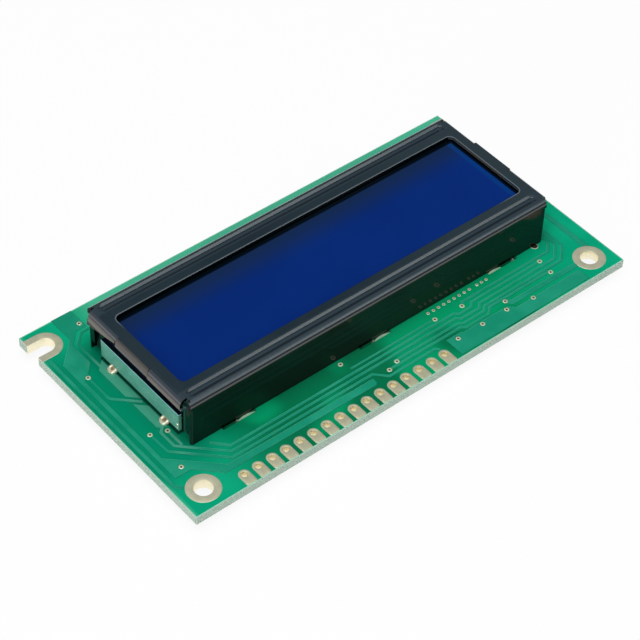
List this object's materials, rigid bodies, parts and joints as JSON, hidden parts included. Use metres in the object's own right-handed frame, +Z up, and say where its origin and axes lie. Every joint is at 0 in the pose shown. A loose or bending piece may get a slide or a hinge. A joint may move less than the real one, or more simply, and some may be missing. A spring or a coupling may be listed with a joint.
{
  "type": "character lcd module",
  "caption": "Character display with a blue window in a folded black bezel, on a green circuit board with a row of edge pads and corner fixings.",
  "frame": {"origin": "under the middle of the board, on the plane that the ends of the bezel's twisted tabs stand on", "axes": "+X along the board's length, +Y from the edge with the pads to the back edge, +Z up through the display"},
  "size_m": [0.084, 0.044, 0.0119],
  "materials": {
    "board_mask": "glossy green solder mask",
    "masked_copper": "green solder mask over copper",
    "tinned_copper": "dull tinned copper",
    "bezel_black": "satin black paint",
    "display_glass": "clear glass",
    "polariser_film": "deep blue film",
    "seal_resin": "cured resin",
    "connector_rubber": "soft rubber",
    "frame_plastic": "moulded plastic",
    "guide_acrylic": "clear acrylic",
    "white_film": "white film",
    "light_board_mask": "glossy green solder mask",
    "light_chip_plastic": "white package with a yellow lens",
    "solder": "bright solder",
    "silicon": "bare silicon",
    "drop_resin": "black resin",
    "resistor_black": "black glaze on ceramic",
    "capacitor_tan": "tan ceramic"
  },
  "bodies": {
    "root": {"circuit_board": "board_mask", "front_copper": "masked_copper", "back_copper": "masked_copper", "edge_pads": "tinned_copper", "fixing_lands": "tinned_copper", "bezel_lands": "tinned_copper", "vias": "tinned_copper", "bezel": "bezel_black", "front_glass": "display_glass", "rear_glass": "display_glass", "front_polariser": "polariser_film", "rear_polariser": "polariser_film", "display_seal": "seal_resin", "front_connector_strip": "connector_rubber", "rear_connector_strip": "connector_rubber", "light_frame": "frame_plastic", "light_guide": "guide_acrylic", "reflector_sheet": "white_film", "diffuser_sheet": "white_film", "light_board": "light_board_mask", "light_chips": "light_chip_plastic", "solder_joints": "solder", "small_part_ends": "solder", "controller_die": "silicon", "driver_die": "silicon", "controller_drop": "drop_resin", "driver_drop": "drop_resin", "resistors": "resistor_black", "capacitors": "capacitor_tan"}
  },
  "joints": []
}
